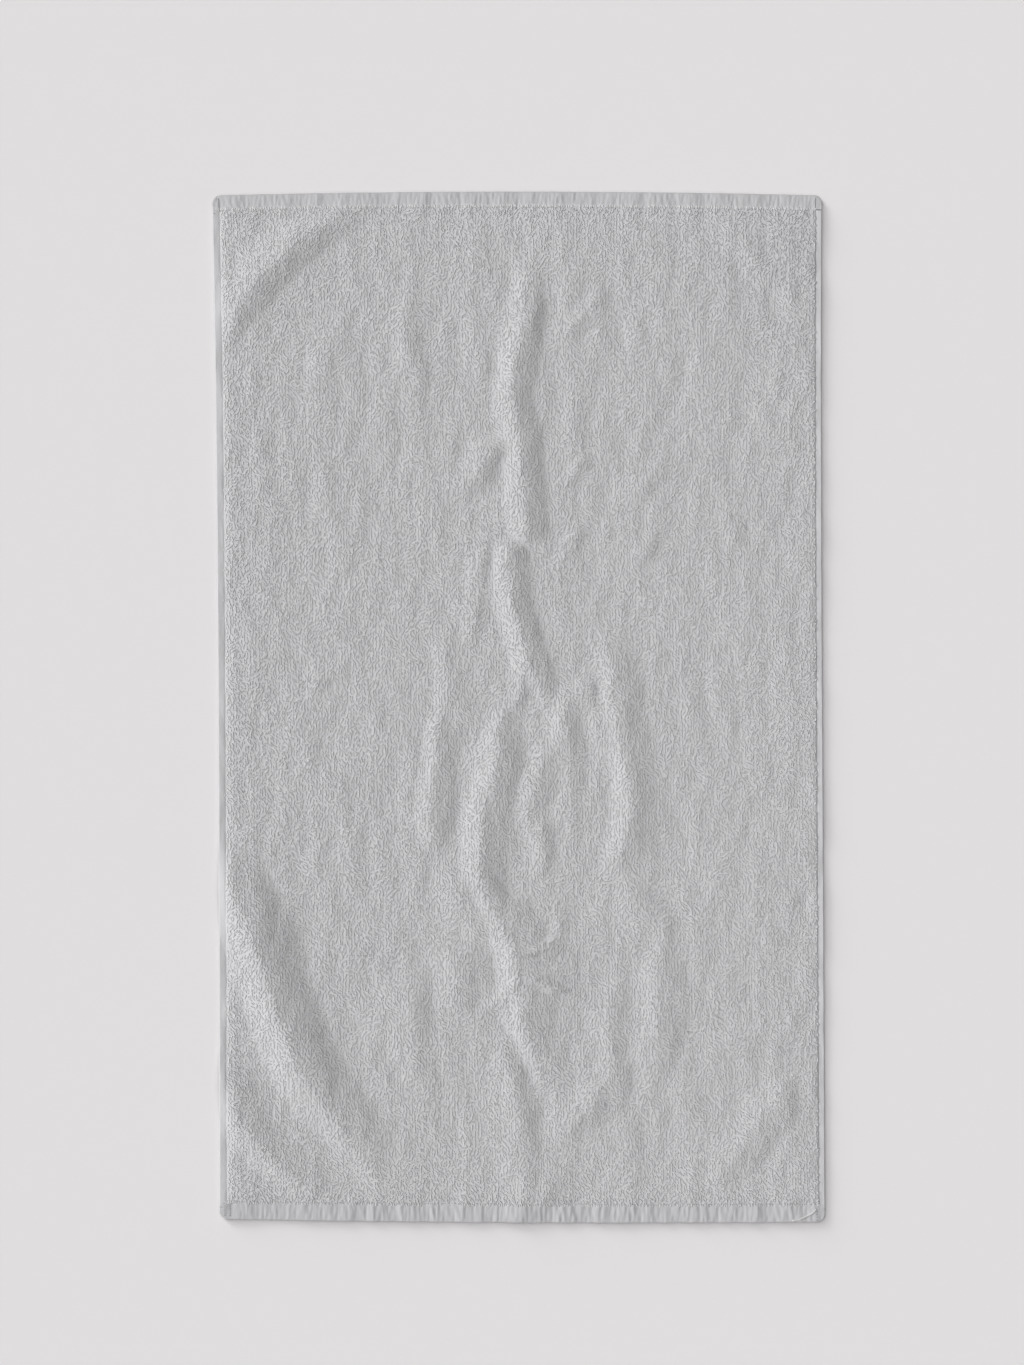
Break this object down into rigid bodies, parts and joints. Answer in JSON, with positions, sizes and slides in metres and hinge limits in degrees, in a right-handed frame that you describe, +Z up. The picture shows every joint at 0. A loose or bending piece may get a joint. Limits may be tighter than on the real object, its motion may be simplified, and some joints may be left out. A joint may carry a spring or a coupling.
{
  "type": "bath mat laid flat",
  "caption": "Rectangular terry bath mat lying flat, with turned hems on all sides and soft folds along its middle and corners.",
  "frame": {"origin": "middle of the mat on the floor it lies on", "axes": "+X across the mat, +Y along its length, +Z up out of the floor"},
  "size_m": [0.514, 0.8642, 0.0145],
  "materials": {
    "terry": "matte looped terry"
  },
  "bodies": {
    "root": {"terry_mat": "terry"}
  },
  "joints": []
}
